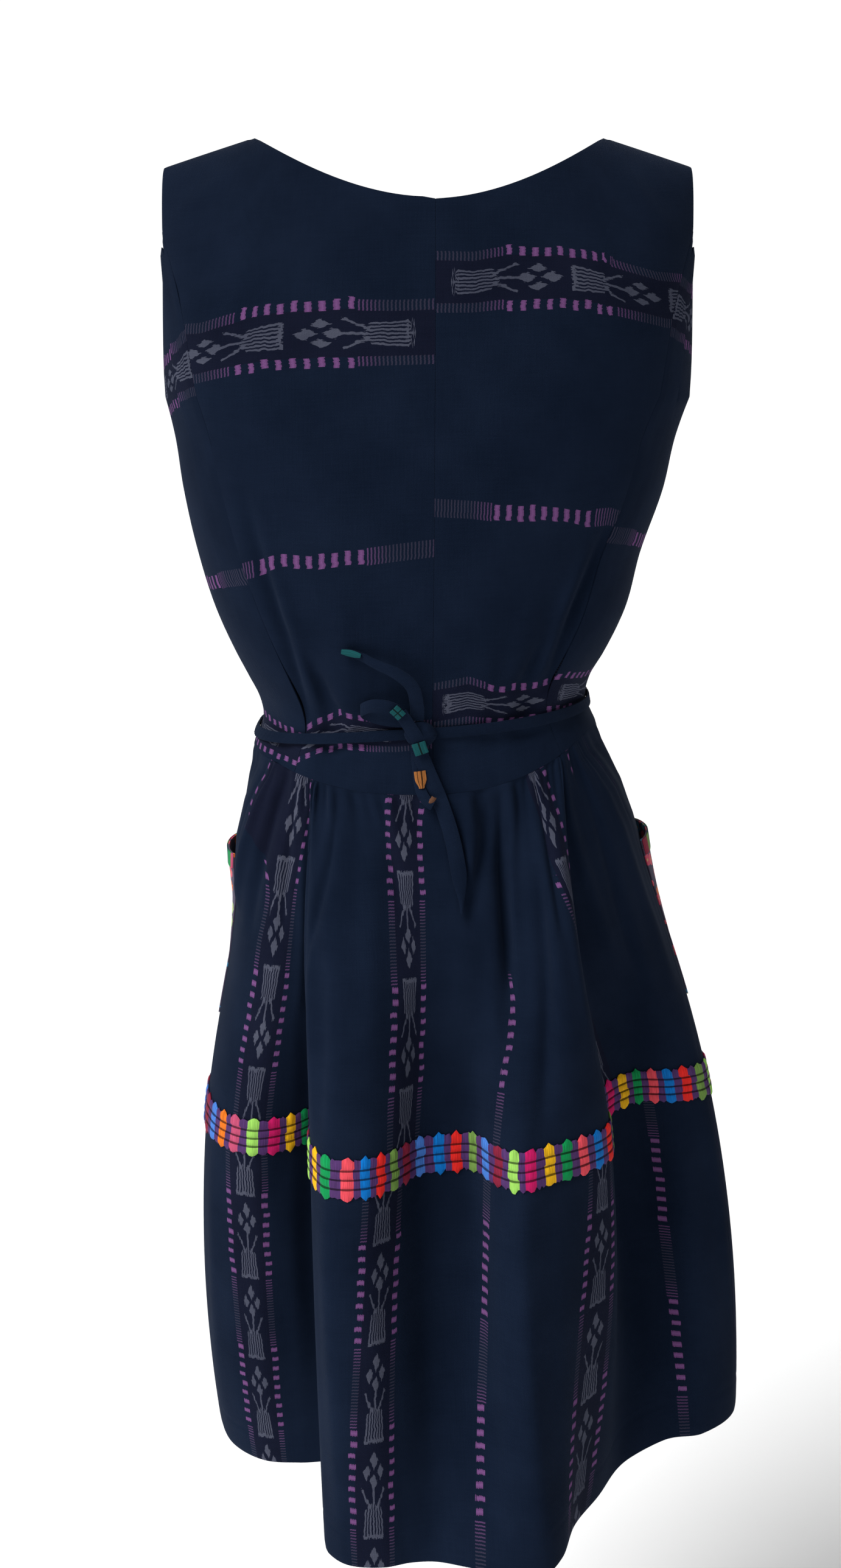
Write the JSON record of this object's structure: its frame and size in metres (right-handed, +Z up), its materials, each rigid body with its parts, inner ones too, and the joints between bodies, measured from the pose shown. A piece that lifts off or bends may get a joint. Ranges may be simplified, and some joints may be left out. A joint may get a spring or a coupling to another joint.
{
  "type": "handwoven folk dress",
  "caption": "Sleeveless knee-length folk dress of indigo ikat cotton with a gathered skirt, stitched joining band, patch pockets and a tied back waist.",
  "frame": {"origin": "midway between the shoulders, at the height where they carry the dress", "axes": "+Z up along the body, -Y towards the front, +Y towards the back, +X towards the wearer's left"},
  "size_m": [0.4498, 0.3697, 1.0095],
  "materials": {
    "indigo_cotton": "matte handwoven cotton, deep indigo with grey and magenta ikat",
    "randa_thread": "satin-stitched cotton thread in many colours on aubergine",
    "pocket_cloth": "handwoven cotton with coloured flowers, matte",
    "pocket_trim": "dense teal stitching, slight sheen",
    "tie_cotton": "narrow matte indigo cotton strap"
  },
  "bodies": {
    "root": {"back_left": "indigo_cotton", "back_right": "indigo_cotton", "side_left": "indigo_cotton", "side_right": "indigo_cotton", "front": "indigo_cotton", "skirt_upper_back": "indigo_cotton", "skirt_upper_front": "indigo_cotton", "skirt_lower_back": "indigo_cotton", "skirt_lower_front": "indigo_cotton", "randa_back": "randa_thread", "randa_front": "randa_thread", "pocket_left": "pocket_cloth", "pocket_right": "pocket_cloth", "pocket_trim_left": "pocket_trim", "pocket_trim_right": "pocket_trim", "tie_left": "tie_cotton", "tie_right": "tie_cotton", "tie_knot": "tie_cotton", "tie_loop": "tie_cotton", "tie_end_upper": "tie_cotton", "tie_end_short": "tie_cotton", "tie_end_long": "tie_cotton"}
  },
  "joints": []
}
